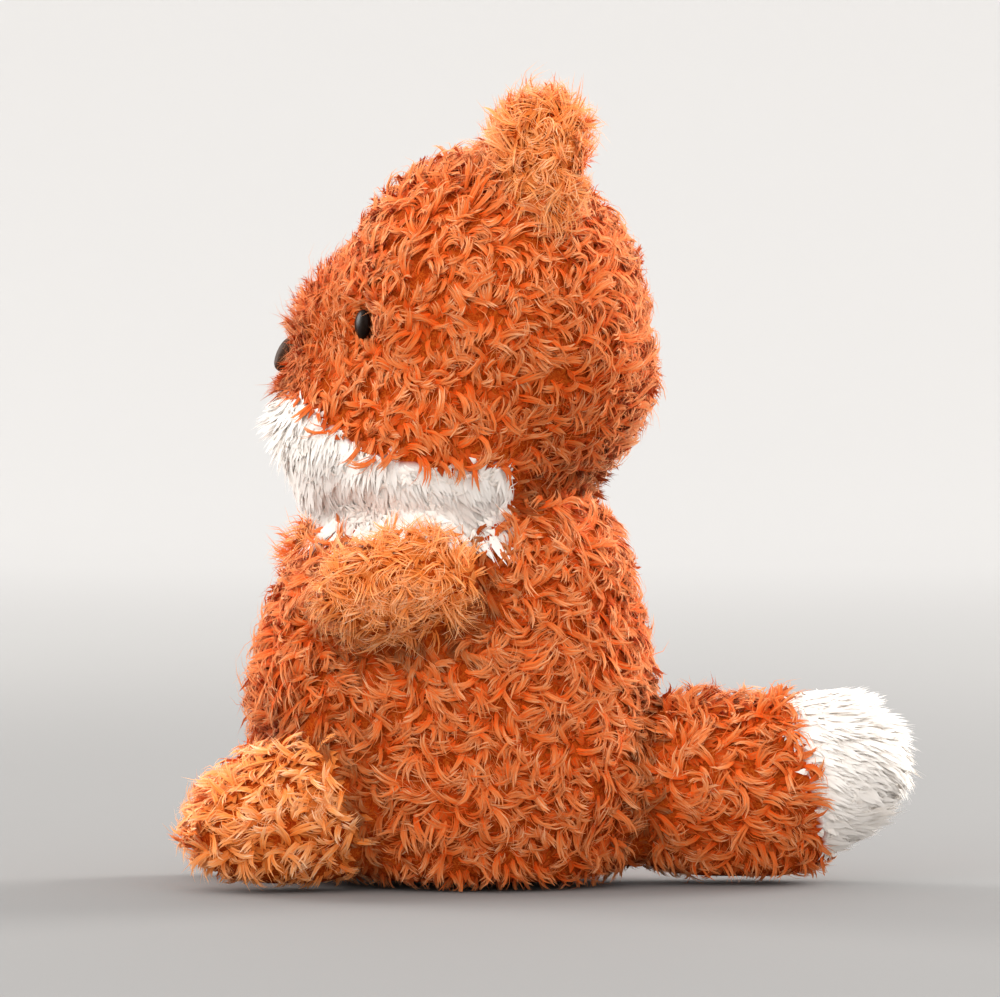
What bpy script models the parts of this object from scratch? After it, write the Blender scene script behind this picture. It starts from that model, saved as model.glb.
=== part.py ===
"""A sitting plush fox: a stuffed toy of curly pile with stub limbs and a thick tail on the floor.

Metres, +Z up. The toy faces -Y and its left side is +X. The floor is Z = 0, and the origin lies
under the middle of the seat. Every form reaches out to the tips of the pile.
"""

import math

import bmesh
import bpy
from mathutils import Vector

GAP = 0.0003  # left between two pieces that touch
MISS_WIDTH = 0.3  # how far beside a lobe, in its own half sizes, a blend still feels it
EYE_RADIUS = 0.0042
SIDES = {"left": 1, "right": -1}

# A form is a blend of round lobes. Each lobe is (centre from the form's own origin, half sizes).
HEAD_AT = (0, 0, 0.157)
HEAD_LOBES = [
    ((0, 0.001, 0), (0.057, 0.0470, 0.0545)),  # skull
    ((0, 0.012, -0.016), (0.044, 0.0355, 0.028)),  # nape
    ((0, -0.0330, 0.0010), (0.0245, 0.0235, 0.0205)),  # muzzle
    ((0, -0.033, -0.027), (0.038, 0.029, 0.0300)),  # chin
    ((0.027, -0.014, -0.032), (0.031, 0.030, 0.0275)),  # cheeks
    ((-0.027, -0.014, -0.032), (0.031, 0.030, 0.0275)),
]

# The white of the lower face lies below a round line, and ends behind the cheeks.
FACE_LINE_AT = (0, -0.0084, 0.180)
FACE_LINE_RADIUS = 0.064
CHEEK_BACK = 0.003
MUZZLE_RADIUS = 0.0235
MUZZLE_BACK = -0.036
EYE_AT = (0.0305, -0.0352, 0.1590)

NOSE_AT = (0, -0.0568, 0.1505)
NOSE_LOBES = [
    ((0, 0, 0.0010), (0.0068, 0.0040, 0.0042)),
    ((0, 0, -0.0020), (0.0040, 0.0036, 0.0038)),
]
NOSE_TURN = math.radians(-24)

EAR_AT = (0.0310, 0.0140, 0.1990)
EAR_LOBES = [
    ((0, 0, 0.000), (0.0220, 0.0140, 0.0200)),
    ((0.003, 0, 0.0130), (0.0115, 0.0135, 0.0135)),
    ((-0.003, 0, 0.0130), (0.0115, 0.0135, 0.0135)),
]
EAR_YAW = math.radians(24)
EAR_LEAN = math.radians(12)

TRUNK_AT = (0, -0.008, 0.056)
TRUNK_LOBES = [
    ((0, -0.0015, 0.000), (0.051, 0.0595, 0.061)),  # belly
    ((0, 0.005, 0.032), (0.044, 0.0435, 0.038)),  # chest
    ((0, 0.007, -0.030), (0.047, 0.0530, 0.039)),  # seat
]

ARM_LOBES = [
    ((0, -0.006, 0.000), (0.0165, 0.0185, 0.0170)),  # paw
    ((0, 0.010, 0.001), (0.0165, 0.0185, 0.0185)),  # upper arm
]
# Each arm's place and the angles that its paw points down and inwards.
ARMS = {
    "left": ((0.0430, -0.0270, 0.0850), math.radians(10), math.radians(6)),
    "right": ((-0.0400, -0.0355, 0.0895), math.radians(-4), math.radians(8)),
}

LEG_AT = (0.0260, -0.0560, 0.0200)
LEG_LOBES = [
    ((0, -0.0100, -0.0070), (0.0180, 0.0200, 0.0115)),  # sole
    ((0, -0.0085, 0.0000), (0.0195, 0.0225, 0.0150)),  # foot
    ((0, 0.0080, 0.0050), (0.0220, 0.0250, 0.0250)),  # thigh
]
LEG_SPLAY = math.radians(7)

TAIL_AT = (0, 0.073, 0.029)
TAIL_LOBES = [
    ((0, -0.013, -0.001), (0.0255, 0.0340, 0.0280)),  # root
    ((0, 0.008, -0.006), (0.0235, 0.0270, 0.0245)),  # underside
    ((0, 0.0185, 0.0050), (0.0245, 0.0300, 0.0230)),  # tip
]
TIP_LINE_AT = (0, 0.0925, 0.035)
TIP_LINE_LEAN = math.radians(14)

ORANGE = (0.60, 0.165, 0.045)
PALE_ORANGE = (0.72, 0.26, 0.085)
WHITE = (0.86, 0.80, 0.74)
BLACK = (0.012, 0.009, 0.008)
DARK_BROWN = (0.055, 0.038, 0.030)


def clear_scene():
    for old in list(bpy.data.objects):
        bpy.data.objects.remove(old)


def new_collection(name):
    collection = bpy.data.collections.new(name)
    bpy.context.scene.collection.children.link(collection)
    return collection


def new_material(name, colour, roughness):
    material = bpy.data.materials.new(name)
    material.use_nodes = True
    shader = material.node_tree.nodes["Principled BSDF"]
    shader.inputs["Base Color"].default_value = (*colour, 1)
    shader.inputs["Roughness"].default_value = roughness
    shader.inputs["Metallic"].default_value = 0
    return material


def reach_of(lobe, direction, grow):
    """How far the lobe reaches from the form's origin along a unit direction, or 0 off it."""
    centre, half = lobe
    scale = [1 / (size + grow) for size in half]
    start = Vector([-c * s for c, s in zip(centre, scale)])
    ray = Vector([d * s for d, s in zip(direction, scale)])
    nearest = -start.dot(ray) / ray.dot(ray)
    aside = (start + ray * nearest).length
    if aside < 1:
        return max(nearest + math.sqrt(1 - aside * aside) / ray.length, 0)
    # A ray that passes close beside the lobe still feels it, so a blend has no step.
    return max(nearest * (1 - (aside - 1) / MISS_WIDTH), 0)


def blended(first, second, width):
    """The larger of two reaches, rounded off over a width where they are alike."""
    near = max(width - abs(first - second), 0) / width
    return max(first, second) + near * near * width / 4


def form_mesh(name, lobes, rounds, blend, grow, floor):
    """A round cage pushed out to the lobes, and flat where it meets the floor below its origin."""
    cage = bmesh.new()
    bmesh.ops.create_uvsphere(cage, u_segments=rounds, v_segments=rounds * 5 // 8, radius=1)
    for point in cage.verts:
        direction = point.co.normalized()
        reach = reach_of(lobes[0], direction, grow)
        for lobe in lobes[1:]:
            reach = blended(reach, reach_of(lobe, direction, grow), blend)
        if floor and direction.z < 0:
            reach = min(reach, floor / -direction.z)
        point.co = direction * reach
    for face in cage.faces:
        face.smooth = True
    bmesh.ops.triangulate(cage, faces=cage.faces, quad_method="FIXED")
    mesh = bpy.data.meshes.new(name)
    cage.to_mesh(mesh)
    cage.free()
    return mesh


def add_form(name, collection, at, lobes, rounds, turn=(0, 0, 0), blend=0.010, grow=0, floor=0):
    form = bpy.data.objects.new(name, form_mesh(name, lobes, rounds, blend, grow, floor))
    form.location = at
    form.rotation_euler = turn
    collection.objects.link(form)
    return form


def as_cutter(cutter):
    cutter.hide_render = True
    cutter.display_type = "WIRE"
    return cutter


def boolean(piece, operation, *others):
    for other in others:
        modifier = piece.modifiers.new(operation.lower() + " " + other.name, "BOOLEAN")
        modifier.operation = operation
        modifier.solver = "EXACT"
        modifier.object = other


def box_cutter(name, centre, size, lean=0):
    bpy.ops.mesh.primitive_cube_add(size=1, location=centre, rotation=(lean, 0, 0))
    box = bpy.context.object
    box.name = name
    box.scale = size
    move_to(box, cutters)
    return as_cutter(box)


def rod_cutter(name, centre, radius, depth, turn, sides):
    bpy.ops.mesh.primitive_cylinder_add(
        vertices=sides, radius=radius, depth=depth, location=centre, rotation=turn
    )
    rod = bpy.context.object
    rod.name = name
    move_to(rod, cutters)
    return as_cutter(rod)


def move_to(piece, collection):
    for old in list(piece.users_collection):
        old.objects.unlink(piece)
    collection.objects.link(piece)


def mirrored(place, side):
    return (place[0] * side, place[1], place[2])


def add_head():
    """One whole head, parted by thin cuts into the orange head, the muzzle and the white cheeks."""
    cut_whole = as_cutter(add_form("whole_head", cutters, HEAD_AT, HEAD_LOBES, 34, grow=GAP))
    pieces = {
        name: add_form(name, fox, HEAD_AT, HEAD_LOBES, 34) for name in ("head", "muzzle", "cheeks")
    }
    white = face_cutter("white_face", 0)
    around_white = face_cutter("around_white_face", GAP)
    snout = muzzle_cutter("snout", 0)
    around_snout = muzzle_cutter("around_snout", GAP)
    boolean(pieces["head"], "DIFFERENCE", around_white, around_snout)
    boolean(pieces["muzzle"], "INTERSECT", snout)
    boolean(pieces["muzzle"], "DIFFERENCE", around_white)
    boolean(pieces["cheeks"], "INTERSECT", white)
    pieces["head"].data.materials.append(orange)
    pieces["muzzle"].data.materials.append(orange)
    pieces["cheeks"].data.materials.append(white_pile)
    return pieces, cut_whole


def face_cutter(name, grow):
    """The block below the round line that parts the orange face from the white one."""
    length = 0.080
    height = 0.070
    centre = (0, CHEEK_BACK + grow - length / 2, FACE_LINE_AT[2] - 0.035 - height / 2)
    block = box_cutter(name, centre, (0.16, length, height))
    line = rod_cutter(
        name + "_line", FACE_LINE_AT, FACE_LINE_RADIUS - grow, 0.17, (0, math.pi / 2, 0), 48
    )
    boolean(block, "DIFFERENCE", line)
    return block


def muzzle_cutter(name, grow):
    length = 0.040
    centre = (0, MUZZLE_BACK + grow - length / 2, HEAD_AT[2])
    return rod_cutter(name, centre, MUZZLE_RADIUS + grow, length, (math.pi / 2, 0, 0), 32)


def add_eyes(head):
    for side, sign in SIDES.items():
        eye = None
        for name, collection, grow in (
            ("eye_" + side, fox, 0),
            ("eye_socket_" + side, cutters, GAP),
        ):
            radius = EYE_RADIUS + grow
            eye = add_form(name, collection, mirrored(EYE_AT, sign), [((0, 0, 0), (radius,) * 3)], 14)
            eye.data.materials.append(black)
        boolean(head, "DIFFERENCE", as_cutter(eye))


def add_nose(muzzle, cheeks):
    turn = (NOSE_TURN, 0, 0)
    nose = add_form("nose", fox, NOSE_AT, NOSE_LOBES, 18, turn, blend=0.003)
    nose.data.materials.append(dark_brown)
    seat = add_form("nose_seat", cutters, NOSE_AT, NOSE_LOBES, 18, turn, blend=0.003, grow=GAP)
    boolean(muzzle, "DIFFERENCE", as_cutter(seat))
    boolean(cheeks, "DIFFERENCE", seat)


def add_ears(whole_head):
    for side, sign in SIDES.items():
        turn = (0, EAR_LEAN * sign, EAR_YAW * sign)
        ear = add_form("ear_" + side, fox, mirrored(EAR_AT, sign), EAR_LOBES, 20, turn)
        ear.data.materials.append(pale_orange)
        boolean(ear, "DIFFERENCE", whole_head)


def add_trunk(whole_head):
    trunk = add_form("trunk", fox, TRUNK_AT, TRUNK_LOBES, 32, blend=0.016, floor=TRUNK_AT[2])
    trunk.data.materials.append(orange)
    boolean(trunk, "DIFFERENCE", whole_head)
    cutter = add_form("whole_trunk", cutters, TRUNK_AT, TRUNK_LOBES, 32, blend=0.016, grow=GAP)
    return as_cutter(cutter)


def add_arms(whole_head, whole_trunk):
    for side, sign in SIDES.items():
        place, down, inwards = ARMS[side]
        arm = add_form("arm_" + side, fox, place, ARM_LOBES, 22, (down, 0, -inwards * sign))
        arm.data.materials.append(pale_orange)
        boolean(arm, "DIFFERENCE", whole_trunk, whole_head)


def add_legs(whole_trunk):
    for side, sign in SIDES.items():
        leg = add_form(
            "leg_" + side, fox, mirrored(LEG_AT, sign), LEG_LOBES, 22, (0, 0, LEG_SPLAY * sign),
            floor=LEG_AT[2],
        )
        leg.data.materials.append(pale_orange)
        boolean(leg, "DIFFERENCE", whole_trunk)


def add_tail(whole_trunk):
    """One whole tail, parted across by a thin leaning cut where its pile turns white."""
    block = 0.10
    for name, sign, material in (("tail", 1, orange), ("tail_tip", -1, white_pile)):
        piece = add_form(name, fox, TAIL_AT, TAIL_LOBES, 26, floor=TAIL_AT[2])
        piece.data.materials.append(material)
        away = (block / 2 - GAP / 2) * sign
        centre = Vector(TIP_LINE_AT) + Vector(
            (0, away * math.cos(TIP_LINE_LEAN), away * math.sin(TIP_LINE_LEAN))
        )
        other_end = box_cutter("beyond_" + name, centre, (block,) * 3, TIP_LINE_LEAN)
        boolean(piece, "DIFFERENCE", other_end)
        if name == "tail":
            boolean(piece, "DIFFERENCE", whole_trunk)


clear_scene()
fox = new_collection("plush_fox")
cutters = new_collection("cutters")
orange = new_material("orange pile", ORANGE, 0.9)
pale_orange = new_material("pale orange pile", PALE_ORANGE, 0.9)
white_pile = new_material("white pile", WHITE, 0.9)
black = new_material("black bead", BLACK, 0.12)
dark_brown = new_material("dark brown nose", DARK_BROWN, 0.45)

head_pieces, head_cutter = add_head()
add_eyes(head_pieces["head"])
add_nose(head_pieces["muzzle"], head_pieces["cheeks"])
add_ears(head_cutter)
trunk_cutter = add_trunk(head_cutter)
add_arms(head_cutter, trunk_cutter)
add_legs(trunk_cutter)
add_tail(trunk_cutter)
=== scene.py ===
import math

import bmesh
import bpy
import numpy as np
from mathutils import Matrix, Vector, noise
from mathutils.bvhtree import BVHTree


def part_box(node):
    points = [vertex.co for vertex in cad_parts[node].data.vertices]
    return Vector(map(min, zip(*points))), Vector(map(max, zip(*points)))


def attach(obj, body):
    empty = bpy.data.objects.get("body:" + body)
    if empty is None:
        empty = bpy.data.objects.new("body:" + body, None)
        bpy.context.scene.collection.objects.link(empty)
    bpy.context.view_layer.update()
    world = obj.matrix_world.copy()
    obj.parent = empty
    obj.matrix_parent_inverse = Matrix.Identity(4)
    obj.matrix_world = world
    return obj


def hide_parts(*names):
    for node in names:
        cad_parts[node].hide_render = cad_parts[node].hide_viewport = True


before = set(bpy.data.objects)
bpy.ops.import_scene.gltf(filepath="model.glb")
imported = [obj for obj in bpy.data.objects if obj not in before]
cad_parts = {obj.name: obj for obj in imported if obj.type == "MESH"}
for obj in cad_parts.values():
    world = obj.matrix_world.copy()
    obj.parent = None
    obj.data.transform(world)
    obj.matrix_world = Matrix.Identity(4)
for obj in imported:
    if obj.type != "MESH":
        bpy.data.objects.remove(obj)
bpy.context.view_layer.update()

print("frame loaded:", len(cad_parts), "nodes")

fleshNodes = [
    "head", "muzzle", "cheeks", "ear_left", "ear_right", "trunk",
    "arm_left", "arm_right", "leg_left", "leg_right", "tail", "tail_tip",
]
whiteNodes = ["cheeks", "tail_tip"]
paleNodes = ["ear_left", "ear_right", "arm_left", "arm_right", "leg_left", "leg_right"]
hardNodes = ["eye_left", "eye_right", "nose"]
whiteMargin = 0.0024  # how far the white reaches past its own nodes


def middleOf(node):
    low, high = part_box(node)
    return (low + high) / 2


def deselectAll():
    for thing in bpy.context.selected_objects:
        thing.select_set(False)
    bpy.context.view_layer.objects.active = None


def pick(thing):
    deselectAll()
    thing.select_set(True)
    bpy.context.view_layer.objects.active = thing


def applyModifier(thing, kind, **settings):
    pick(thing)
    modifier = thing.modifiers.new(kind.lower(), kind)
    for name, value in settings.items():
        setattr(modifier, name, value)
    bpy.ops.object.modifier_apply(modifier=modifier.name)


class Wire:  # one output socket, with maths on it
    def __init__(self, finish, socket):
        self.finish = finish
        self.socket = socket

    def maths(self, operation, first, second):
        return self.finish.node("ShaderNodeMath", {"operation": operation}, {0: first, 1: second})

    def __add__(self, other):
        return self.maths("ADD", self, other)

    def __radd__(self, other):
        return self.maths("ADD", other, self)

    def __sub__(self, other):
        return self.maths("SUBTRACT", self, other)

    def __rsub__(self, other):
        return self.maths("SUBTRACT", other, self)

    def __mul__(self, other):
        return self.maths("MULTIPLY", self, other)


class Finish:  # one material and its nodes
    def __init__(self, name):
        self.material = bpy.data.materials.new(name)
        self.material.use_nodes = True
        self.tree = self.material.node_tree
        self.shader = self.tree.nodes["Principled BSDF"]

    def node(self, kind, settings, inputs, output=0):
        made = self.tree.nodes.new(kind)
        for name, value in settings.items():
            if name == "stops":
                self.fillRamp(made.color_ramp, value)
            else:
                setattr(made, name, value)
        for key, value in inputs.items():
            self.feed(made.inputs[key], value)
        return Wire(self, made.outputs[output])

    def fillRamp(self, ramp, stops):
        while len(ramp.elements) < len(stops):
            ramp.elements.new(1.0)
        for element, (place, colour) in zip(ramp.elements, stops):
            element.position = place
            element.color = (*colour, 1.0)

    def feed(self, socket, value):
        if isinstance(value, Wire):
            self.tree.links.new(value.socket, socket)
        else:
            socket.default_value = value

    def ramp(self, stops, factor):
        return self.node("ShaderNodeValToRGB", {"stops": stops}, {0: factor})

    def mixColour(self, factor, first, second):
        return self.node("ShaderNodeMix", {"data_type": "RGBA"}, {0: factor, 6: first, 7: second}, 2)

    def attribute(self, name):
        return self.node("ShaderNodeAttribute", {"attribute_name": name}, {}, 2)

    def place(self):
        return self.node("ShaderNodeTexCoord", {}, {}, 3)  # Object coordinates

    def speckle(self, scale, detail):
        inputs = {"Vector": self.place(), "Scale": scale, "Detail": detail}
        return self.node("ShaderNodeTexNoise", {}, inputs)

    def bump(self, height, strength, distance):
        inputs = {"Strength": strength, "Distance": distance, "Height": height}
        return self.node("ShaderNodeBump", {}, inputs)

    def surface(self, **values):  # sockets of the shader, by name with spaces as underscores
        for name, value in values.items():
            self.feed(self.shader.inputs[name.replace("_", " ")], value)
        return self.material


coatColours = dict(
    # the orange and pale ramps run root to tip: the pile's own colour, deeper at the root as painted shade
    # and paler at the tip as painted light
    orange=[
        (0.0, (0.860, 0.080, 0.003)), (0.40, (0.720, 0.150, 0.029)), (0.80, (0.700, 0.240, 0.086)),
        (1.0, (0.760, 0.380, 0.200)),
    ],
    pale=[
        (0.0, (0.980, 0.215, 0.026)), (0.45, (0.950, 0.315, 0.084)), (0.80, (0.940, 0.440, 0.190)),
        (1.0, (0.955, 0.640, 0.410)),
    ],
    white=[(0.0, (0.950, 0.870, 0.800)), (0.30, (0.930, 0.875, 0.820)), (1.0, (0.910, 0.870, 0.830))],
    tipDepth=0.85,  # how much of a colour's ramp goes by the place along the strand
    toneDepth=0.30,  # how much by the lock
    toneRange=(0.86, 1.08),
    deepestPaintedShade=0.35,  # painted shade: the share of the colour left where it is deepest, at the bottom of a crease
    streak=(4500.0, 420.0, 1.0),  # fibres drawn along each lock's patch of the unwrap
    streakDepth=1.5,
    streakDetail=2.0,
    roughness=0.80,
    specular=0.06,
    sheen=0.55,
    sheenRoughness=0.34,
    orangeSheen=(1.0, 0.58, 0.32, 1.0),
    whiteSheen=(1.0, 0.95, 0.90, 1.0),
)


def makeCoatFinish(name, sheenTint):
    style = coatColours
    finish = Finish(name)
    tip = finish.attribute("tipward")
    tone = finish.attribute("tone")
    unwrap = finish.node("ShaderNodeUVMap", {"uv_map": "OFBake"}, {})
    drawn = finish.node("ShaderNodeMapping", {}, {"Vector": unwrap, "Scale": style["streak"]})
    streak = finish.node(
        "ShaderNodeTexNoise", {"noise_dimensions": "2D"},
        {"Vector": drawn, "Scale": 1.0, "Detail": style["streakDetail"]},
    )
    reach = tip * style["tipDepth"] + (tone - 0.5) * style["toneDepth"]
    reach = reach + (streak - 0.5) * style["streakDepth"]
    orange = finish.ramp(style["orange"], reach)
    pale = finish.ramp(style["pale"], reach)
    colour = finish.mixColour(finish.attribute("paleness"), orange, pale)
    colour = finish.mixColour(finish.attribute("whiteness"), colour, finish.ramp(style["white"], tip))
    low, high = style["toneRange"]
    gain = low + tone * (high - low)
    gain = gain + finish.attribute("whiteness") * (1 - gain)
    # painted shade: the colour is darkened in creases and in the matted pile
    gain = gain * (style["deepestPaintedShade"] + finish.attribute("shade") * (1 - style["deepestPaintedShade"]))
    colour = finish.node("ShaderNodeVectorMath", {"operation": "SCALE"}, {0: colour, "Scale": gain})
    return finish.surface(
        Base_Color=colour, Roughness=style["roughness"], Specular_IOR_Level=style["specular"],
        Sheen_Weight=style["sheen"], Sheen_Roughness=style["sheenRoughness"], Sheen_Tint=sheenTint,
    )


backingStyle = dict(
    # the cloth's orange, kept dark as painted shade under the pile; the cream under the white is its own
    # colour
    paintedShadeOrange=[(0.36, (0.300, 0.028, 0.002)), (0.50, (0.400, 0.052, 0.004)), (0.66, (0.490, 0.095, 0.010))],
    cream=[(0.30, (0.860, 0.810, 0.770)), (0.70, (0.950, 0.925, 0.900))],
    knit={"Scale": 900.0, "Detail": 4.0, "Distortion": 1.5},  # short matted pile close to the cloth
    bumpStrength=0.4,
    bumpDistance=0.0004,
    roughness=0.9,
    specular=0.04,
)


def makeSkinFinish():
    style = backingStyle
    finish = Finish("plush_backing")
    knit = finish.node("ShaderNodeTexNoise", {}, {"Vector": finish.place()} | style["knit"])
    paintedShadeOrange = finish.ramp(style["paintedShadeOrange"], knit)
    cream = finish.ramp(style["cream"], knit)
    return finish.surface(
        Base_Color=finish.mixColour(finish.attribute("whiteness"), paintedShadeOrange, cream),
        Roughness=style["roughness"], Specular_IOR_Level=style["specular"],
        Normal=finish.bump(knit, style["bumpStrength"], style["bumpDistance"]),
    )


beadFinish = dict(
    stops=[(0.2, (0.003, 0.002, 0.002)), (0.8, (0.012, 0.006, 0.004))],
    haze=(260.0, 2.0),  # scale and detail
    roughness=0.26,
    hazeRoughness=0.12,
    ior=1.10,
)


def makeEyeFinish():
    style = beadFinish
    finish = Finish("eye_bead")
    haze = finish.speckle(*style["haze"])
    return finish.surface(
        Base_Color=finish.ramp(style["stops"], haze),
        Roughness=style["roughness"] + haze * style["hazeRoughness"], IOR=style["ior"],
    )


softFinish = dict(
    stops=[(0.3, (0.030, 0.014, 0.008)), (0.7, (0.070, 0.034, 0.020))],
    grain=(1400.0, 4.0),  # scale and detail
    roughness=0.55,
    grainRoughness=0.16,
    bumpStrength=0.35,
    bumpDistance=0.0003,
    ior=1.16,
)


def makeNoseFinish():
    style = softFinish
    finish = Finish("soft_nose")
    grain = finish.speckle(*style["grain"])
    return finish.surface(
        Base_Color=finish.ramp(style["stops"], grain),
        Roughness=style["roughness"] + grain * style["grainRoughness"], IOR=style["ior"],
        Normal=finish.bump(grain, style["bumpStrength"], style["bumpDistance"]),
    )


skinStyle = dict(
    mergeWithin=1e-6,
    voxel=0.0020,
    smoothing=0.5,
    shellSmooth=4,
    backingSmooth=8,
    depthSmooth=30,  # rounds of evening out the coat's depth from one part to the next
    floorDepth=0.0020,
    floorHeight=0.0060,
    floorFacing=-0.5,
    hardDepth=0.0028,  # round the eyes and the nose
    hardReach=0.0220,
    seamAngle=66,
    islandMargin=0.004,
)
coatDepth = dict(  # how far the skin is below the solids
    head=0.0044, muzzle=0.0032, cheeks=0.0034, ear_left=0.0044, ear_right=0.0044, trunk=0.0048,
    arm_left=0.0042, arm_right=0.0042, leg_left=0.0044, leg_right=0.0044, tail=0.0046, tail_tip=0.0034,
)


def mergedMesh(node):
    cage = bmesh.new()
    cage.from_mesh(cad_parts[node].data)
    bmesh.ops.remove_doubles(cage, verts=cage.verts, dist=skinStyle["mergeWithin"])
    mesh = bpy.data.meshes.new(node + "_copy")
    cage.to_mesh(mesh)
    cage.free()
    return mesh


def joinedTree(nodes):  # a search tree over several nodes, and the node that each face belongs to
    points, faces, owners = [], [], []
    for node in nodes:
        mesh = mergedMesh(node)
        start = len(points)
        points += [tuple(vertex.co) for vertex in mesh.vertices]
        faces += [tuple(start + index for index in face.vertices) for face in mesh.polygons]
        owners += [node] * len(mesh.polygons)
        bpy.data.meshes.remove(mesh)
    return BVHTree.FromPolygons(points, faces), owners


def ownersOf(points, tree, owners):
    found = [owners[tree.find_nearest(Vector(point))[2]] for point in points]
    for node, whiteTree in whiteTrees.items():  # the curls beside it lie over the edge of the white
        for index, point in enumerate(points):
            if whiteTree.find_nearest(Vector(point), whiteMargin)[0] is not None:
                found[index] = node
    return found


def vertexArray(mesh, what="co"):
    values = np.empty(len(mesh.vertices) * 3)
    mesh.vertices.foreach_get(what, values)
    return values.reshape(-1, 3)


def evened(mesh, values, rounds):  # each value moves towards the mean of its neighbours
    ends = np.empty(len(mesh.edges) * 2, int)
    mesh.edges.foreach_get("vertices", ends)
    ends = ends.reshape(-1, 2)
    count = np.bincount(ends.ravel(), minlength=len(values))
    for _ in range(rounds):
        total = np.bincount(ends[:, 0], values[ends[:, 1]], len(values))
        total += np.bincount(ends[:, 1], values[ends[:, 0]], len(values))
        values = 0.5 * values + 0.5 * total / np.maximum(count, 1)
    return values


def makeShell():  # the flesh nodes as one closed surface, out to the tips of the coat
    copies = []
    for node in fleshNodes:
        copy = bpy.data.objects.new("plush_skin", mergedMesh(node))
        bpy.context.scene.collection.objects.link(copy)
        copies.append(copy)
    deselectAll()
    for copy in copies:
        copy.select_set(True)
    bpy.context.view_layer.objects.active = copies[0]
    bpy.ops.object.join()
    shell = bpy.context.view_layer.objects.active
    applyModifier(shell, "REMESH", mode="VOXEL", voxel_size=skinStyle["voxel"])
    applyModifier(shell, "SMOOTH", factor=skinStyle["smoothing"], iterations=skinStyle["shellSmooth"])
    return shell


def treeOf(mesh):
    points = [tuple(vertex.co) for vertex in mesh.vertices]
    return BVHTree.FromPolygons(points, [tuple(face.vertices) for face in mesh.polygons])


def sinkSkin(shell, fleshTree, fleshOwners, hardTree):  # lowers the shell by the coat's depth
    style = skinStyle
    mesh = shell.data
    points = vertexArray(mesh)
    normals = vertexArray(mesh, "normal")
    owners = ownersOf(points, fleshTree, fleshOwners)
    depth = np.array([coatDepth[node] for node in owners])
    away = np.array([hardTree.find_nearest(Vector(point))[3] for point in points])
    share = np.clip(away / style["hardReach"], 0, 1)
    depth = np.minimum(depth, style["hardDepth"] + (depth - style["hardDepth"]) * share)
    resting = (points[:, 2] < style["floorHeight"]) & (normals[:, 2] < style["floorFacing"])
    depth[resting] = style["floorDepth"]
    depth = evened(mesh, depth, style["depthSmooth"])
    deepest = max(coatDepth.values())
    group = shell.vertex_groups.new(name="depth")
    for index, value in enumerate(depth):
        group.add([index], float(value / deepest), "REPLACE")
    applyModifier(
        shell, "DISPLACE", vertex_group="depth", strength=-deepest, mid_level=0.0, direction="NORMAL",
    )
    applyModifier(shell, "REMESH", mode="VOXEL", voxel_size=style["voxel"])
    applyModifier(shell, "SMOOTH", factor=style["smoothing"], iterations=style["backingSmooth"])
    keepLargest(shell)
    return shell


def keepLargest(thing):  # drops any bubble that the remesh left inside
    cage = bmesh.new()
    cage.from_mesh(thing.data)
    unseen = set(cage.verts)
    groups = []
    while unseen:
        found = {unseen.pop()}
        edge = list(found)
        while edge:
            vertex = edge.pop()
            for link in vertex.link_edges:
                other = link.other_vert(vertex)
                if other in unseen:
                    unseen.discard(other)
                    found.add(other)
                    edge.append(other)
        groups.append(found)
    groups.sort(key=len)
    extra = [vertex for group in groups[:-1] for vertex in group]
    bmesh.ops.delete(cage, geom=extra, context="VERTS")
    cage.to_mesh(thing.data)
    cage.free()


def unwrapSkin(skin):
    pick(skin)
    skin.data.uv_layers.new(name="OFBake")
    bpy.ops.object.mode_set(mode="EDIT")
    bpy.ops.mesh.select_all(action="SELECT")
    bpy.ops.uv.smart_project(
        angle_limit=math.radians(skinStyle["seamAngle"]), island_margin=skinStyle["islandMargin"],
    )
    bpy.ops.object.mode_set(mode="OBJECT")
    bpy.ops.object.shade_smooth()


def markWhite(thing, owners):
    values = np.array([node in whiteNodes for node in owners], np.float32)
    thing.data.attributes.new("whiteness", "FLOAT", "POINT").data.foreach_set("value", values)


# spacing is between locks; each is blades, the soft body of a curl, with strands, its loose fibres.
# reach is how far the lock stands up, as a share of the coat's depth; rise and fall are its slope at
# the root and at the tip, and curl is how far it turns along the skin. swirl, stray and frizz are how
# far whole areas, single locks and single strands turn away. spread is the foot of a lock, clump how far
# its tips close together, and soft how much of its shading comes from the skin.
curly = dict(
    spacing=0.00257, blades=4, strands=4, rings=3, bladeRings=4, halfWidth=0.00013, bladeWidth=0.00056,
    reach=(0.84, 1.24), rise=(30, 64), fall=(-28, 14), curl=(30, 130), bend=1.15, swirl=115, stray=62,
    spread=0.0016, clump=0.72, frizz=13, soft=0.92,
)
fuzzy = dict(
    spacing=0.00185, blades=2, strands=6, rings=3, bladeRings=4, halfWidth=0.00012, bladeWidth=0.00034,
    reach=(0.82, 1.18), rise=(28, 58), fall=(-24, 20), curl=(20, 110), bend=1.15, swirl=100, stray=70,
    spread=0.0012, clump=0.45, frizz=16, soft=0.94,
)
fine = dict(
    spacing=0.00145, blades=2, strands=3, rings=3, bladeRings=3, halfWidth=0.00011, bladeWidth=0.00032,
    reach=(1.00, 1.36), rise=(34, 66), fall=(-20, 24), curl=(30, 120), bend=1.2, swirl=80, stray=50,
    spread=0.0008, clump=0.35, frizz=14, soft=0.94,
)
straight = dict(
    spacing=0.00165, blades=4, strands=2, rings=3, bladeRings=3, halfWidth=0.00012, bladeWidth=0.00082,
    reach=(0.93, 1.07), rise=(12, 22), fall=(-8, 3), curl=(0, 20), bend=1.0, swirl=12, stray=9,
    spread=0.0019, clump=0.05, frizz=5, soft=0.98,
)
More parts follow.
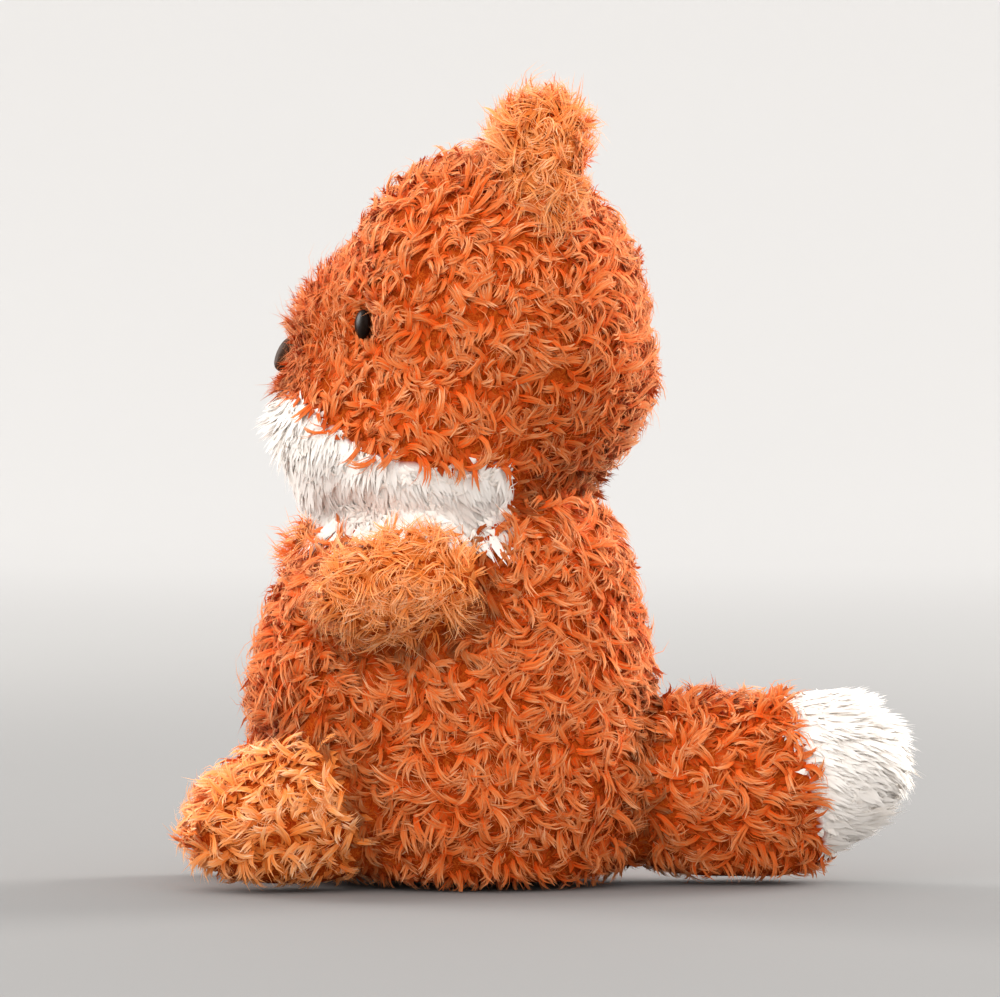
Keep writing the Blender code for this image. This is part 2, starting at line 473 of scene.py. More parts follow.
matted = dict(  # broad low locks under each of the others, which hide the cloth
    blade=True, strands=2, rings=2, halfWidth=0.00125, flat=0.10, reach=(0.40, 0.62), rise=(26, 50),
    fall=(-16, 4), curl=(10, 60), bend=1.0, swirl=160, stray=90, spread=0.0016, clump=0.0, frizz=10,
    # tipShare keeps the matted pile near the darker root colour, as painted shade
    soft=0.80, tipShare=0.40,
)
coatStyles = dict(
    head=curly,
    muzzle=fine,
    cheeks=straight,
    ear_left=fuzzy,
    ear_right=fuzzy,
    trunk=curly,
    arm_left=fuzzy,
    arm_right=fuzzy,
    leg_left=curly | dict(swirl=60, curl=(20, 130)),
    leg_right=curly | dict(swirl=60, curl=(20, 130)),
    tail=curly,
    tail_tip=straight | dict(reach=(0.95, 1.25)),
)
lays = dict(  # the way that the pile is brushed; elsewhere it runs away from the nose
    trunk=(0.0, 0.1, -1.0), arm_left=(0.0, -1.0, -0.3), arm_right=(0.0, -1.0, -0.3),
    leg_left=(0.0, -1.0, -0.25), leg_right=(0.0, -1.0, -0.25), tail=(0.0, 1.0, -0.2),
    tail_tip=(0.0, 1.0, -0.45),
)
earLift = (0.0, 0.0, 0.35)
cheekSide = (0.0, 0.45, -1.0)
cheekFront = (0.0, -1.5, 0.5)  # added where the cheek faces forward
# where the pile stands out: at is a place in the node's box, as shares of its y and z
longer = [
    dict(node="cheeks", at=(0.03, 0.82), size=0.0055, wide=0.012, gain=3.0),
    dict(node="cheeks", at=(0.14, 0.27), size=0.0080, wide=0.030, gain=1.8),
    dict(node="cheeks", at=(0.55, 0.06), size=0.0080, wide=9.0, long=9.0, gain=1.25),
    dict(node="muzzle", at=(0.10, 0.72), size=0.0075, wide=0.014, gain=2.7),
    dict(node="head", at=(0.82, 0.08), size=0.0080, wide=0.022, gain=2.0),
    dict(node="head", at=(0.97, 0.66), size=0.0060, wide=0.014, gain=1.4),
    dict(node="head", at=(1.00, 0.40), size=0.0100, wide=0.020, gain=1.3),
    dict(node="trunk", at=(0.85, 0.97), size=0.0080, wide=0.022, gain=1.3),
    dict(node="trunk", at=(0.00, 0.41), size=0.0090, wide=0.030, gain=1.6),
    dict(node="trunk", at=(0.50, 0.02), size=0.0050, wide=9.0, long=9.0, gain=1.4),
    dict(node="leg_left", at=(0.03, 0.12), size=0.0070, wide=0.016, gain=1.7),
    dict(node="leg_right", at=(0.03, 0.12), size=0.0070, wide=0.016, gain=1.7),
    dict(node="tail", at=(0.14, 1.00), size=0.0100, wide=0.016, gain=1.9),
    dict(node="tail_tip", at=(0.88, 0.80), size=0.0140, wide=0.030, gain=1.7),
    dict(node="tail_tip", at=(0.50, 0.97), size=0.0100, wide=0.030, gain=1.6),
    dict(node="tail_tip", at=(0.62, 0.13), size=0.0080, wide=0.020, gain=1.8),
    dict(node="arm_right", at=(0.05, 0.60), size=0.0100, wide=0.020, gain=1.5),
]
for ear in ("ear_left", "ear_right"):
    longer += [
        dict(node=ear, at=(0.07, 0.95), size=0.0048, wide=0.014, gain=4.2),
        dict(node=ear, at=(0.98, 0.86), size=0.0046, wide=0.014, gain=4.2),
        dict(node=ear, at=(0.00, 0.60), size=0.0070, wide=0.014, gain=1.2),
        dict(node="head", box=ear, at=(-0.05, 0.50), size=0.0080, wide=0.016, gain=2.1),
    ]
coatStyle = dict(
    seed=7,
    tries=5,  # places drawn for each lock that fits
    swirlSize=0.011,  # from one whorl of the pile to the next
    swirlShift=(3.1, 0.2, 5.7),
    swirlGain=1.8,
    tuftSize=0.007,
    tuftShift=(8.4, 2.6, 0.9),
    tuftSwing=0.40,
    lengthSwing=(0.72, 1.12),
    widthSwing=(0.75, 1.25),
    leastGirth=0.65,  # where the coat is thin, so are its strands
    lockTone=0.65,  # the rest of a strand's tone is its own
    riseFrizz=0.6,  # share of the frizz that goes into the slope
    fallFrizz=0.8,
    curlBend=0.8,
    clumpBend=0.8,
    leastClimb=0.25,  # a strand that hardly rises is not drawn out any longer than this allows
    straySwing=0.03,  # share of strands that stick out
    strayGain=1.3,
    slack=2.1,  # the most that a strand's length may be, as a share of its height, and a little more
    slackLength=0.0008,
    rootSink=0.0006,
    floorGap=0.0003,
    hardGap=0.0007,
    hardPush=2,  # the pile is combed away from the eyes and the nose
    forwardWay=(0.0, -1.0, 0.1),  # and runs forward beside the nose
    faceReach=0.014,  # near the eyes and the nose the locks are closer together, and smaller
    faceClose=0.30,
    limbPale=(0.96, 1.10),  # how pale a limb is, underneath and on top: paler on top, as painted light
    paleFrom=0.35,  # how far round to its lower side the change begins
    # pale all round: the ears, and the far arm, whose paleness is painted light
    allPale=("ear_left", "ear_right", "arm_right"),
    longerRise=80,  # where the pile stands out, it points straight out
    longerFall=52,
    longerStill=0.7,  # and turns less
    creaseReach=0.0110,  # where one part meets another the pile is short, and darkened with painted shade
    creaseLean=0.3,  # and only where the skin leans towards the other part
    creaseShort=0.18,
    creasePaintedShade=1.00,
    bladeFrizz=0.40,  # a blade strays less than the fibres round it
    bladeSpread=0.60,
    bladeCurl=0.08,  # how much the curl varies from strand to strand
    strandCurl=0.22,
    bladeFlat=0.42,
    bladeLength=0.90,
    bladeOutline=(0.60, 1.9, 2.4),  # half width at the root, how fast it swells, and how fast it tapers
    strandFlat=0.60,
    strandOutline=(0.75, 1.0, 1.35),
    sideLean=0.3,  # tilts each strand's broad side towards the way that it lies
    matTone=0.72,  # the matted pile is darker than the locks over it, as painted shade
    matShade=0.50,  # and its orange is darkened again with painted shade; the white's is not
    hairLevel=0.40,  # how far a strand that stands up is shaded as a hair, and not as the skin
    patch=0.003,  # a lock's square in the unwrap
    patchTop=0.97,  # how high in it the last ring of corners is
    patchEdge=0.0005,  # kept free at the edge of the unwrap
    pieceLimit=190000,  # triangles
    underHeight=0.0030,  # nothing grows under the toy, where it rests
    underFacing=-0.92,
)
frames = dict(  # how the pile stands beside the eyes and the nose
    eye=dict(reach=0.0040, stand=1.25, rise=86, fall=56, forward=0.0),
    nose=dict(reach=0.0066, stand=2.60, rise=62, fall=46, forward=2.6),
)


def normalised(vectors):
    return vectors / np.maximum(np.linalg.norm(vectors, axis=-1, keepdims=True), 1e-12)


def dotted(first, second):
    return (first * second).sum(axis=-1, keepdims=True)


def rowsOf(table, rows):
    return {name: values[rows] for name, values in table.items()}


def skinTriangles(skin):
    mesh = skin.data
    mesh.calc_loop_triangles()
    count = len(mesh.loop_triangles)
    corners = np.empty(count * 3, int)
    mesh.loop_triangles.foreach_get("vertices", corners)
    loops = np.empty(count * 3, int)
    mesh.loop_triangles.foreach_get("loops", loops)
    unwrap = np.empty(len(mesh.loops) * 2)
    mesh.uv_layers["OFBake"].data.foreach_get("uv", unwrap)
    corners = corners.reshape(-1, 3)
    unwrap = unwrap.reshape(-1, 2)[loops.reshape(-1, 3)]
    return vertexArray(mesh)[corners], vertexArray(mesh, "normal")[corners], unwrap


def scatterRoots(skin, fleshTree, fleshOwners, hardTree, rng):  # places on the skin, none too near another
    points, normals, unwrap = skinTriangles(skin)
    sides = np.cross(points[:, 1] - points[:, 0], points[:, 2] - points[:, 0])
    area = np.linalg.norm(sides, axis=1) / 2
    closest = min(style["spacing"] for style in coatStyles.values())
    count = int(area.sum() / closest**2 * coatStyle["tries"])
    chosen = rng.choice(len(area), count, p=area / area.sum())
    share = rng.random((count, 2))
    folded = share.sum(axis=1) > 1
    share[folded] = 1 - share[folded]
    share = np.column_stack([1 - share.sum(axis=1), share])[:, :, None]
    places = (points[chosen] * share).sum(axis=1)
    facing = normalised((normals[chosen] * share).sum(axis=1))
    spots = (unwrap[chosen] * share).sum(axis=1)
    owners = ownersOf(places, fleshTree, fleshOwners)
    cell = max(style["spacing"] for style in coatStyles.values())
    taken = {}
    kept = []
    around = [(i, j, k) for i in (-1, 0, 1) for j in (-1, 0, 1) for k in (-1, 0, 1)]
    for index, place in enumerate(places.tolist()):
        gap = coatStyles[owners[index]]["spacing"] ** 2
        away = hardTree.find_nearest(Vector(place), coatStyle["faceReach"])[3]
        if away is not None and owners[index] in ("head", "muzzle"):
            gap *= coatStyle["faceClose"] + (1 - coatStyle["faceClose"]) * away / coatStyle["faceReach"]
        x, y, z = (int(value // cell) for value in place)
        near = [other for i, j, k in around for other in taken.get((x + i, y + j, z + k), ())]
        if all(sum((a - b) ** 2 for a, b in zip(place, other)) > gap for other in near):
            taken.setdefault((x, y, z), []).append(place)
            kept.append(index)
    kept = np.array(kept)
    return dict(
        place=places[kept], facing=facing[kept], spot=spots[kept], owner=np.array(owners)[kept],
    )


def whorl(places, size, shift):  # smooth noise, the same at each run
    return np.array([noise.noise(Vector(place) / size + Vector(shift)) for place in places.tolist()])


def brushed(roots):  # the direction that each lock lies in, along the skin
    nose, side, front = np.array(middleOf("nose")), np.array(cheekSide), np.array(cheekFront)
    lay = np.zeros_like(roots["place"])
    for index, (place, facing, owner) in enumerate(zip(roots["place"], roots["facing"], roots["owner"])):
        if owner.startswith("ear"):
            away = place - np.array(middleOf(owner))
            lay[index] = away / np.linalg.norm(away) + earLift
        elif owner == "cheeks":
            lay[index] = side + front * max(0.0, -facing[1]) ** 2
        elif owner in lays:
            lay[index] = lays[owner]
        else:
            lay[index] = (place - nose) / np.linalg.norm(place - nose)
    return lay


def keepClear(roots, hardTree, hardOwners):  # no lock starts under an eye or the nose
    found = [hardTree.find_nearest(Vector(place)) for place in roots["place"]]
    away = np.array([hit[3] for hit in found])
    toward = np.array([hit[0] for hit in found]) - roots["place"]
    inside = dotted(toward, np.array([hit[1] for hit in found])).ravel() > 0
    roots["away"] = np.where(inside, 0.0, away)
    roots["frame"] = np.array([hardOwners[hit[2]].split("_")[0] for hit in found])
    forward = np.array([frames[name]["forward"] for name in roots["frame"]])
    way = np.array(coatStyle["forwardWay"])
    roots["fromHard"] = normalised(forward[:, None] * way - normalised(toward))
    return rowsOf(roots, roots["away"] > coatStyle["hardGap"])


creasing = dict(  # the parts whose pile is creased, and those that they run on into
    head=("head", "muzzle", "cheeks", "ear_left", "ear_right"),
    trunk=("trunk",),
    tail=("tail", "tail_tip"),
)


def creased(roots):  # how far each lock is down in a crease between two parts, from 0 to 1
    deep = np.zeros(len(roots["place"]))
    most, least = coatStyle["creaseReach"], coatStyle["creaseLean"]
    for node in fleshNodes:
        tree = joinedTree([node])[0]
        apart = [owner for owner in creasing if node not in creasing[owner]]
        for index in np.nonzero(np.isin(roots["owner"], apart))[0]:
            hit, _, _, away = tree.find_nearest(Vector(roots["place"][index]), most)
            if hit is None or away < 1e-5:
                continue
            lean = (hit - Vector(roots["place"][index])).dot(Vector(roots["facing"][index])) / away
            deep[index] = max(deep[index], (1 - away / most) * min(1.0, max(0.0, 2 * lean - least)))
    return deep


def lengthened(places, owners):  # how much longer each lock is than its part's own pile
    gain = np.ones(len(places))
    for spot in longer:
        low, high = (np.array(corner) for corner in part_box(spot.get("box", spot["node"])))
        centre = low + (high - low) * (0.5, *spot["at"])
        size = (spot["wide"], spot.get("long", spot["size"]), spot["size"])
        away = np.linalg.norm((places - centre) / size, axis=1)
        gain += (spot["gain"] - 1) * np.exp(-(away**2)) * (owners == spot["node"])
    return gain


def lockShapes(roots, style, shellTree, rng):  # one row for each lock
    general = coatStyle
    place, facing = roots["place"], roots["facing"]
    count = len(place)
    depth = np.array([shellTree.find_nearest(Vector(spot))[3] for spot in place])
    border = {
        key: np.array([frames[name][key] for name in roots["frame"]])
        for key in ("reach", "stand", "rise", "fall")
    }
    near = np.clip(1 - roots["away"] / border["reach"], 0, 1)
    lay = brushed(roots) * (1 - near)[:, None]
    lay += roots["fromHard"] * near[:, None] * general["hardPush"]
    along = normalised(lay - facing * dotted(lay, facing) + 1e-6)
    swirl = whorl(place, general["swirlSize"], general["swirlShift"])
    swing = style["swirl"] * general["swirlGain"] * swirl
    swing += rng.normal(0, style["stray"], count)
    tuft = 1 + general["tuftSwing"] * whorl(place, general["tuftSize"], general["tuftShift"])
    gain = lengthened(place, roots["owner"])
    reach = rng.uniform(*style["reach"], count) * tuft * gain
    reach *= 1 - general["creaseShort"] * roots["crease"]
    reach += (border["stand"] - reach) * near
    out = np.clip(gain - 1, 0, 1)
    low, high = general["limbPale"]
    pale = low + (high - low) * np.clip(facing[:, 2] + general["paleFrom"], 0, 1)
    pale[np.isin(roots["owner"], general["allPale"])] = 1.0
    pale *= np.isin(roots["owner"], paleNodes)
    rise = rng.uniform(*style["rise"], count)
    rise += (general["longerRise"] - rise) * out
    fall = rng.uniform(*style["fall"], count)
    fall += (general["longerFall"] - fall) * out
    return dict(
        place=place,
        facing=facing,
        along=along,
        across=np.cross(facing, along),
        height=depth * reach,
        heading=np.radians(swing * (1 - near) * (1 - general["longerStill"] * out)),
        rise=np.radians(rise + (border["rise"] - rise) * near),
        fall=np.radians(fall + (border["fall"] - fall) * near),
        curl=np.radians(rng.uniform(*style["curl"], count)) * rng.choice([-1, 1], count),
        tone=rng.random(count),
        girth=np.clip(depth / coatDepth["head"], general["leastGirth"], 1.0),
        # painted shade: darker the further down in a crease
        shade=1 - general["creasePaintedShade"] * roots["crease"],
        paleness=pale,
        spot=roots["spot"],
        owner=roots["owner"],
    )


def strandPaths(locks, style, rng):  # the middle line of every strand, root to tip
    general = coatStyle
    strands, rings = style["strands"], style["rings"]
    rows = np.repeat(np.arange(len(locks["place"])), strands)
    count = len(rows)
    frizz = np.radians(style["frizz"])
    rise = locks["rise"][rows] + rng.normal(0, frizz * general["riseFrizz"], count)
    fall = locks["fall"][rows] + rng.normal(0, frizz * general["fallFrizz"], count)
    heading = locks["heading"][rows] + rng.normal(0, frizz, count)
    swing = general["bladeCurl"] if style["blade"] else general["strandCurl"]
    curl = locks["curl"][rows] * rng.uniform(1 - swing, 1 + swing, count)
    height = locks["height"][rows] * rng.uniform(*general["lengthSwing"], count)
    if style["blade"]:
        height *= general["bladeLength"]
    else:
        loose = rng.random(count) < general["straySwing"]
        height[loose] *= general["strayGain"]
        fall[loose] = np.abs(fall[loose])
    turn = rng.uniform(0, 2 * math.pi, count)
    spread = np.sqrt(rng.random(count)) * style["spread"]
    facing, along, across = (locks[name][rows] for name in ("facing", "along", "across"))
    offset = (along * np.cos(turn)[:, None] + across * np.sin(turn)[:, None]) * spread[:, None]
    share = (np.arange(rings) + 0.5) / rings
    slope = rise[:, None] + (fall - rise)[:, None] * share ** style["bend"]
    bearing = heading[:, None] + curl[:, None] * share ** (general["curlBend"] * style["bend"])
    climb = np.cumsum(np.sin(slope), axis=1) / rings
    length = height / np.maximum(climb.max(axis=1), general["leastClimb"])
    length = np.minimum(length, general["slack"] * height + general["slackLength"])
    steps = (
        along[:, None] * (np.cos(slope) * np.cos(bearing))[:, :, None]
        + across[:, None] * (np.cos(slope) * np.sin(bearing))[:, :, None]
        + facing[:, None] * np.sin(slope)[:, :, None]
    )
    steps *= (length / rings)[:, None, None]
    start = locks["place"][rows] - facing * general["rootSink"]
    paths = np.concatenate([np.zeros((count, 1, 3)), np.cumsum(steps, axis=1)], axis=1)
    drawIn = 1 - style["clump"] * np.linspace(0, 1, rings + 1) ** general["clumpBend"]
    paths += start[:, None] + offset[:, None] * drawIn[None, :, None]
    shared = general["lockTone"]
    tone = np.clip(shared * locks["tone"][rows] + (1 - shared) * rng.random(count), 0, 1)
    width = style["halfWidth"] * rng.uniform(*general["widthSwing"], count) * locks["girth"][rows]
    return paths, rows, facing, along, tone, width


def strandFaces(rings):  # the corners of each face of one strand: a three-sided tube with a point
    faces = []
    for ring in range(rings - 1):
        for corner in range(3):
            low, turn = ring * 3, (corner + 1) % 3
            faces.append((low + corner, low + turn, low + 3 + turn, low + 3 + corner))
    last = (rings - 1) * 3
    faces += [(last + corner, last + (corner + 1) % 3, last + 3) for corner in range(3)]
    faces.append((2, 1, 0))
    return faces


def atCorners(values):  # a row for each ring, given to its three corners, and the last one to the point
    return np.concatenate([np.repeat(values, 3, axis=1), values[:, -1:]], axis=1)


def strandShading(facing, tangent, outward, down, faces, soft):  # a normal for each corner of each face
    level = facing[:, None] - tangent * dotted(facing[:, None], tangent) * coatStyle["hairLevel"]
    level = atCorners(level)
    outward[:, -1] = level[:, -1]
    softened = normalised(outward * (1 - soft) + level * soft)
    point = outward.shape[1] - 1
    flat = [index for face in faces for index in face]
    under = [not any(index % 3 == 0 and index < point for index in face) for face in faces]
    under = np.repeat(under, [len(face) for face in faces])
    under[-3:] = True
    return np.where(under[None, :, None], atCorners(down)[:, flat], softened[:, flat])


def strandUnwrap(strands, rings, spots):  # side by side in their lock's patch, root at the bottom
    acrossPatch = np.array([0.5, 1.0, 0.0] * rings + [0.5])
    alongPatch = np.append(np.repeat(np.linspace(0, coatStyle["patchTop"], rings), 3), 1.0)
    order = np.arange(len(spots)) % strands
    u = (order[:, None] + acrossPatch) / strands - 0.5
    v = np.broadcast_to(alongPatch - 0.5, u.shape)
    patch = np.stack([u, v], axis=2) * coatStyle["patch"] + spots[:, None]
    edge = coatStyle["patchEdge"]
    return np.clip(patch.reshape(-1, 2), edge, 1 - edge)


def strandMesh(name, paths, rows, facing, along, tone, width, locks, style):
    general = coatStyle
    strands, rings = style["strands"], style["rings"]
    count = len(paths)
    tangent = normalised(paths[:, 1:] - paths[:, :-1])
    side = normalised(np.cross(tangent, (facing + general["sideLean"] * along)[:, None]))
    down = np.cross(tangent, side)
    shares = np.linspace(0, 1, rings + 1)[:-1]
    start, swell, taper = general["bladeOutline" if style["blade"] else "strandOutline"]
    girth = width[:, None] * (start + swell * shares - taper * shares**2)  # the outline of a flame
    points = np.empty((count, rings * 3 + 1, 3))
    outward = np.zeros_like(points)
    for corner in range(3):
        angle = math.radians(270 + 120 * corner)
        wide = math.cos(angle) * girth[:, :, None] * side
        thick = math.sin(angle) * style["flat"] * girth[:, :, None] * down
        points[:, corner:-1:3] = paths[:, :-1] + wide + thick
        outward[:, corner:-1:3] = math.cos(angle) * side + math.sin(angle) * down
    points[:, -1] = paths[:, -1]
    points[:, :, 2] = np.maximum(points[:, :, 2], general["floorGap"])
    faces = strandFaces(rings)
    sizes = np.array([len(face) for face in faces])
    flat = np.array([index for face in faces for index in face])
    perStrand = rings * 3 + 1
    corners = (np.arange(count)[:, None] * perStrand + flat).ravel()
    allSizes = np.tile(sizes, count)
    mesh = bpy.data.meshes.new(name)
    mesh.vertices.add(count * perStrand)
    mesh.vertices.foreach_set("co", points.ravel())
    mesh.loops.add(len(corners))
    mesh.loops.foreach_set("vertex_index", corners)
    mesh.polygons.add(len(allSizes))
    mesh.polygons.foreach_set("loop_start", np.concatenate([[0], np.cumsum(allSizes)[:-1]]))
    mesh.update(calc_edges=True)
    mesh.polygons.foreach_set("use_smooth", np.ones(len(allSizes), bool))
    shading = strandShading(facing, tangent, outward, down, faces, style["soft"])
    mesh.normals_split_custom_set(shading.reshape(-1, 3))
    patch = strandUnwrap(strands, rings, locks["spot"][rows])
    mesh.uv_layers.new(name="OFBake").data.foreach_set("uv", patch[corners].ravel())
    tipward = np.append(np.repeat(shares, 3), 1.0)
    owners = locks["owner"][rows]
    perVertex = dict(
        tipward=np.tile(tipward * style.get("tipShare", 1.0), count),
        tone=np.repeat(tone, perStrand),
        whiteness=np.repeat(np.isin(owners, whiteNodes), perStrand),
        paleness=np.repeat(locks["paleness"][rows], perStrand),
        shade=np.repeat(locks["shade"][rows], perStrand),
    )
    for label, values in perVertex.items():
        attribute = mesh.attributes.new(label, "FLOAT", "POINT")
        attribute.data.foreach_set("value", values.astype(np.float32))
    coat = bpy.data.objects.new(name, mesh)
    bpy.context.scene.collection.objects.link(coat)
    return coat


def halved(places, most):  # rows of locks in groups of at most this many, each group close together
    groups = [np.arange(len(places))]
    while max(len(group) for group in groups) > most:
        group = max(groups, key=len)
        groups = [other for other in groups if other is not group]
        extent = np.ptp(places[group], axis=0)
        order = group[np.argsort(places[group][:, int(extent.argmax())], kind="stable")]
        groups += [order[: len(order) // 2], order[len(order) // 2 :]]
    return sorted(groups, key=lambda group: tuple(places[group].mean(axis=0)))


def growCoat(skin, shellTree, fleshTree, fleshOwners, hardTree, hardOwners):
    general = coatStyle
    rng = np.random.default_rng(general["seed"])
    roots = scatterRoots(skin, fleshTree, fleshOwners, hardTree, rng)
    roots = keepClear(roots, hardTree, hardOwners)
    under = roots["place"][:, 2] < general["underHeight"]
    under &= roots["facing"][:, 2] < general["underFacing"]
    roots = rowsOf(roots, ~under)
    roots["crease"] = creased(roots)
    coats = []
    total = 0
    for node in fleshNodes:
        style = coatStyles[node]
        mine = roots["owner"] == node
        locks = lockShapes(rowsOf(roots, mine), style, shellTree, rng)
        fibre = style | dict(blade=False, flat=general["strandFlat"])
        blade = style | dict(
            blade=True, strands=style["blades"], rings=style["bladeRings"],
            halfWidth=style["bladeWidth"], flat=general["bladeFlat"],
            frizz=style["frizz"] * general["bladeFrizz"], spread=style["spread"] * general["bladeSpread"],
        )
        mats = lockShapes(rowsOf(roots, mine), matted, shellTree, rng)
        mats["tone"] *= general["matTone"]
        # painted shade: the matted orange pile is darkened as if in the shade of the locks over it
        mats["shade"] *= np.where(np.isin(mats["owner"], whiteNodes), 1.0, general["matShade"])
        kinds = dict(coat=(fibre, locks), locks=(blade, locks), mats=(matted, mats))
        for label, (kind, shapes) in kinds.items():
            triangles = (6 * kind["rings"] - 2) * kind["strands"]  # of one lock
            groups = halved(shapes["place"], general["pieceLimit"] // triangles)
            for number, group in enumerate(groups, 1):
                chosen = rowsOf(shapes, group)
                name = f"{label}_{node}" if len(groups) == 1 else f"{label}_{node}_{number}"
                coat = strandMesh(name, *strandPaths(chosen, kind, rng), chosen, kind)
                coats.append(coat)
            total += int(mine.sum()) * triangles
        print("coat on", node, "-", int(mine.sum()), "locks")
    print("coat triangles:", total)
    return coats


eyeStyle = dict(segments=40, rings=24, dome=0.42, facing=(0.36, -0.93, 0.04))
noseStyle = dict(
    levels=4, taper=0.55, slope=0.36, brow=0.12,
    dent=0.10, dentPlace=(0.42, -0.80, -0.15), dentSize=0.28,  # one at each side
)


def makeEye(side):
    low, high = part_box("eye_" + side)
    radius = (high.z - low.z) / 2
    deselectAll()
    bpy.ops.mesh.primitive_uv_sphere_add(
        segments=eyeStyle["segments"], ring_count=eyeStyle["rings"], radius=radius,
        location=middleOf("eye_" + side),
    )
    eye = bpy.context.active_object
    eye.name = "eye_bead_" + side
    facing = Vector(eyeStyle["facing"]).normalized()
    facing.x *= 1 if side == "left" else -1
    for vertex in eye.data.vertices:  # a domed bead, shallow from front to back
        vertex.co -= facing * vertex.co.dot(facing) * (1 - eyeStyle["dome"])
    bpy.ops.object.transform_apply(location=True, rotation=True, scale=True)
    bpy.ops.object.shade_smooth()
    return eye


def makeNose():  # a rounded triangle, wide at the top
    low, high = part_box("nose")
    size = (high - low) / 2
    deselectAll()
    bpy.ops.mesh.primitive_cube_add(size=2.0)
    nose = bpy.context.active_object
    nose.name = "soft_nose"
    applyModifier(nose, "SUBSURF", levels=noseStyle["levels"], render_levels=noseStyle["levels"])
    reach = max(vertex.co.z for vertex in nose.data.vertices)
    for vertex in nose.data.vertices:
        spot = vertex.co / reach
        narrow = 1 - noseStyle["taper"] * (0.5 - 0.5 * spot.z)
        spot.y += noseStyle["slope"] * (1 - spot.y) * (0.5 + 0.5 * spot.z)
        spot.z += noseStyle["brow"] * (1 - spot.x**2) * max(spot.z, 0)
        away = (Vector((abs(spot.x), spot.y, spot.z)) - Vector(noseStyle["dentPlace"])).length
        spot.y += noseStyle["dent"] * math.exp(-((away / noseStyle["dentSize"]) ** 2))
        spot.x *= narrow
        vertex.co = Vector((spot.x * size.x, spot.y * size.y, spot.z / (1 + noseStyle["brow"]) * size.z))
    nose.location = middleOf("nose")
    bpy.ops.object.transform_apply(location=True, rotation=True, scale=True)
    bpy.ops.object.shade_smooth()
    return nose


stageStyle = dict(
    floorRadius=3.0, floorSides=96, wallRadius=2.0, wallSteps=12, roughness=0.85,
    floorColour=(0.170, 0.167, 0.164), wallColour=(0.585, 0.575, 0.565), fadeFrom=0.5, fadeTo=3.4,
    world=(1.0, 0.99, 0.98), worldStrength=1.64,
)
lights = dict(  # place, size and power of each soft box; all aim at the toy
    key=dict(place=(1.5, -1.2, 1.2), size=2.0, power=17.0, colour=(1.0, 0.97, 0.93)),
    fill=dict(place=(1.9, 0.3, 0.3), size=2.4, power=17.0, colour=(1.0, 0.97, 0.93)),
    frontRim=dict(place=(-1.1, -1.4, 0.6), size=0.8, power=32.0, colour=(1.0, 0.98, 0.95)),
    backRim=dict(place=(-0.8, 1.4, 0.7), size=0.8, power=38.0, colour=(1.0, 0.98, 0.95)),
)
cameraStyle = dict(
    azimuth=88.5, elevation=1.2, distance=2.0, aim=(0.0, 0.0041, 0.1096), viewWidth=0.2847, sensor=36.0,
)


def makeFloor():
    style = stageStyle
    deselectAll()
    bpy.ops.mesh.primitive_circle_add(
        vertices=style["floorSides"], radius=style["floorRadius"], fill_type="NGON",
    )
    floor = bpy.context.active_object
    floor.name = "studio_floor"
    bpy.ops.object.mode_set(mode="EDIT")
    bpy.ops.mesh.select_all(action="SELECT")
    radius, height = style["floorRadius"], 0.0
    for step in range(1, style["wallSteps"] + 1):
        angle = math.radians(90 * step / style["wallSteps"])
        nextRadius = style["floorRadius"] + style["wallRadius"] * math.sin(angle)
        nextHeight = style["wallRadius"] * (1 - math.cos(angle))
        bpy.ops.mesh.extrude_region_move(TRANSFORM_OT_translate={"value": (0, 0, nextHeight - height)})
        bpy.ops.transform.resize(value=(nextRadius / radius, nextRadius / radius, 1))
        radius, height = nextRadius, nextHeight
    bpy.ops.mesh.delete(type="ONLY_FACE")
    bpy.ops.object.mode_set(mode="OBJECT")
    bpy.ops.object.shade_smooth()
    finish = Finish("studio_paper")
    away = finish.node("ShaderNodeVectorMath", {"operation": "LENGTH"}, {0: finish.place()}, 1)
    share = finish.node(
        "ShaderNodeMapRange", {"interpolation_type": "SMOOTHSTEP"},
        {"Value": away, "From Min": style["fadeFrom"], "From Max": style["fadeTo"]},
    )
    tint = finish.mixColour(share, (*style["floorColour"], 1.0), (*style["wallColour"], 1.0))
    floor.data.materials.append(finish.surface(Base_Color=tint, Roughness=style["roughness"]))


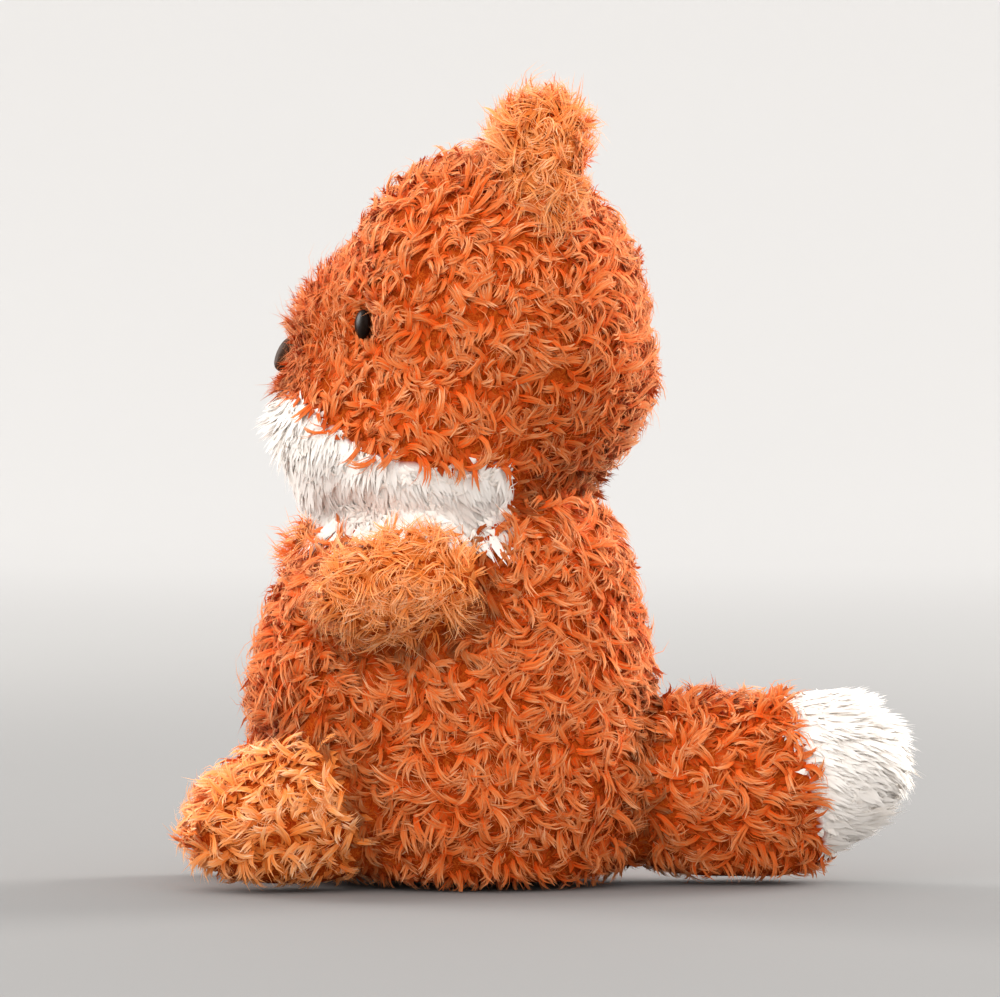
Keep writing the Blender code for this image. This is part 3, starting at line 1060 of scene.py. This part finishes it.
def makeLights():
    aim = Vector(cameraStyle["aim"])
    for name, light in lights.items():
        data = bpy.data.lights.new(name, "AREA")
        data.shape = "DISK"
        data.size = light["size"]
        data.energy = light["power"]
        data.color = light["colour"]
        lamp = bpy.data.objects.new(name, data)
        lamp.location = light["place"]
        lamp.rotation_euler = (aim - lamp.location).to_track_quat("-Z", "Y").to_euler()
        bpy.context.scene.collection.objects.link(lamp)
    world = bpy.context.scene.world or bpy.data.worlds.new("studio")
    bpy.context.scene.world = world
    world.use_nodes = True
    background = world.node_tree.nodes["Background"]
    background.inputs["Color"].default_value = (*stageStyle["world"], 1.0)
    background.inputs["Strength"].default_value = stageStyle["worldStrength"]


def makeCamera():
    style = cameraStyle
    azimuth, elevation = math.radians(style["azimuth"]), math.radians(style["elevation"])
    level = math.cos(elevation)
    back = Vector((math.sin(azimuth) * level, -math.cos(azimuth) * level, math.sin(elevation)))
    data = bpy.data.cameras.new("camera")
    data.sensor_width = style["sensor"]
    data.lens = data.sensor_width * style["distance"] / style["viewWidth"]
    camera = bpy.data.objects.new("camera", data)
    camera.location = Vector(style["aim"]) + back * style["distance"]
    camera.rotation_euler = (-back).to_track_quat("-Z", "Y").to_euler()
    bpy.context.scene.collection.objects.link(camera)
    bpy.context.scene.camera = camera


makeCamera()
makeLights()
makeFloor()
print("stage ready")

fleshTree, fleshOwners = joinedTree(fleshNodes)
hardTree, hardOwners = joinedTree(hardNodes)
whiteTrees = {node: joinedTree([node])[0] for node in whiteNodes}
shell = makeShell()
shellTree = treeOf(shell.data)
skin = sinkSkin(shell, fleshTree, fleshOwners, hardTree)
unwrapSkin(skin)
markWhite(skin, ownersOf(vertexArray(skin.data), fleshTree, fleshOwners))
skin.data.materials.append(makeSkinFinish())
print("skin ready:", len(skin.data.polygons), "faces")

orangeFinish = makeCoatFinish("orange_plush", coatColours["orangeSheen"])
whiteFinish = makeCoatFinish("white_plush", coatColours["whiteSheen"])
coats = growCoat(skin, shellTree, fleshTree, fleshOwners, hardTree, hardOwners)
for coat in coats:
    isWhite = any(node in coat.name for node in whiteNodes)
    coat.data.materials.append(whiteFinish if isWhite else orangeFinish)
    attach(coat, "root")
print("coat ready:", len(coats), "pieces")

eyeFinish = makeEyeFinish()
for side in ("left", "right"):
    eye = makeEye(side)
    eye.data.materials.append(eyeFinish)
    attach(eye, "root")
    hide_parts("eye_" + side)
nose = makeNose()
nose.data.materials.append(makeNoseFinish())
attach(nose, "root")
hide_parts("nose")
print("eyes and nose ready")

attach(skin, "root")
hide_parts(*fleshNodes)

deselectAll()
bpy.context.scene.view_settings.view_transform = "Standard"
print("fox ready")
